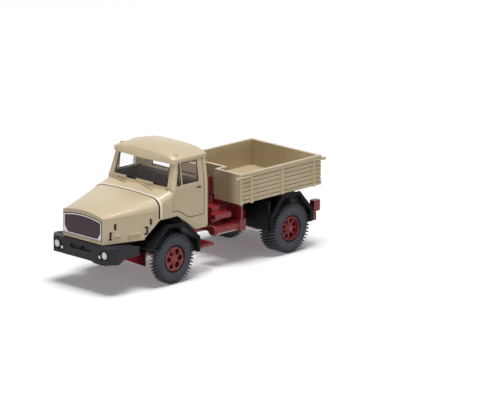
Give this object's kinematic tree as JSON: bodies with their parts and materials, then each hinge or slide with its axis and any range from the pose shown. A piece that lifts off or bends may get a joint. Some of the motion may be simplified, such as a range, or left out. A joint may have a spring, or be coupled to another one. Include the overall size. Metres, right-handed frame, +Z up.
{
  "type": "scale model tipper truck",
  "caption": "Plastic scale model of a short-bonnet tipper truck with a beige cab, a planked bed that tips, a dark-red chassis and freely turning wheelsets.",
  "frame": {"origin": "on the ground, under the middle of the whole model's box", "axes": "+Z up; +Y along the length, towards the rear (the truck drives towards -Y); +X towards the truck's left side"},
  "size_m": [0.0288, 0.0801, 0.0363],
  "materials": {
    "beige_body": "satin moulded beige plastic",
    "chassis_red": "satin moulded dark-red plastic",
    "bumper_grey": "matt anthracite plastic",
    "guard_black": "matt black plastic",
    "tyre_black": "matt grey-black soft plastic",
    "interior_brown": "matt dark brown plastic",
    "grille_dark": "matt dark brown-violet print",
    "silver_trim": "bright silver paint",
    "clear_glazing": "clear polystyrene",
    "lamp_clear": "silvered lamp lenses",
    "pin_steel": "plain steel pin"
  },
  "bodies": {
    "chassis": {"frame_rails": "chassis_red", "front_axle_housing": "chassis_red", "rear_axle_housing": "chassis_red", "front_springs": "chassis_red", "rear_springs": "chassis_red", "driveline": "chassis_red", "bumper": "bumper_grey", "headlamps": "lamp_clear", "tow_pin_front": "guard_black", "hood": "beige_body", "grille": "grille_dark", "grille_frame": "silver_trim", "cab_shell": "beige_body", "windscreen": "clear_glazing", "side_window_left": "clear_glazing", "side_window_right": "clear_glazing", "rear_window": "clear_glazing", "interior": "interior_brown", "steering_wheel": "interior_brown", "fender_front_left": "guard_black", "fender_front_right": "guard_black", "mudguard_rear_left": "guard_black", "mudguard_rear_right": "guard_black", "side_tank_left": "chassis_red", "side_tank_right": "chassis_red", "side_boxes": "chassis_red", "cab_steps": "chassis_red", "tipper_subframe": "guard_black", "hoist_mount": "chassis_red", "hoist_post": "chassis_red", "rear_lamp_brackets": "chassis_red", "tow_hitch": "chassis_red"},
    "front_wheels": {"rim_front_left": "chassis_red", "rim_front_right": "chassis_red", "tyre_front_left": "tyre_black", "tyre_front_right": "tyre_black", "front_axle_pin": "pin_steel"},
    "rear_wheels": {"rim_rear_left": "chassis_red", "rim_rear_right": "chassis_red", "tyre_rear_outer_left": "tyre_black", "tyre_rear_outer_right": "tyre_black", "tyre_rear_inner_left": "tyre_black", "tyre_rear_inner_right": "tyre_black", "rear_axle_pin": "pin_steel"},
    "bed": {"bed_floor": "beige_body", "bed_front_wall": "beige_body", "bed_side_left": "beige_body", "bed_side_right": "beige_body", "tailgate": "beige_body", "bed_subframe": "beige_body"}
  },
  "joints": [
    {"name": "front_axle_roll", "type": "hinge", "parent": "chassis", "child": "front_wheels", "pos_m": [0, -0.0184, 0.007], "axis": [1, 0, 0], "continuous": true},
    {"name": "rear_axle_roll", "type": "hinge", "parent": "chassis", "child": "rear_wheels", "pos_m": [0, 0.0264, 0.007], "axis": [1, 0, 0], "continuous": true},
    {"name": "bed_tip", "type": "hinge", "parent": "chassis", "child": "bed", "pos_m": [0, 0.036, 0.0149], "axis": [-1, 0, 0], "range_deg": [0, 50]}
  ]
}
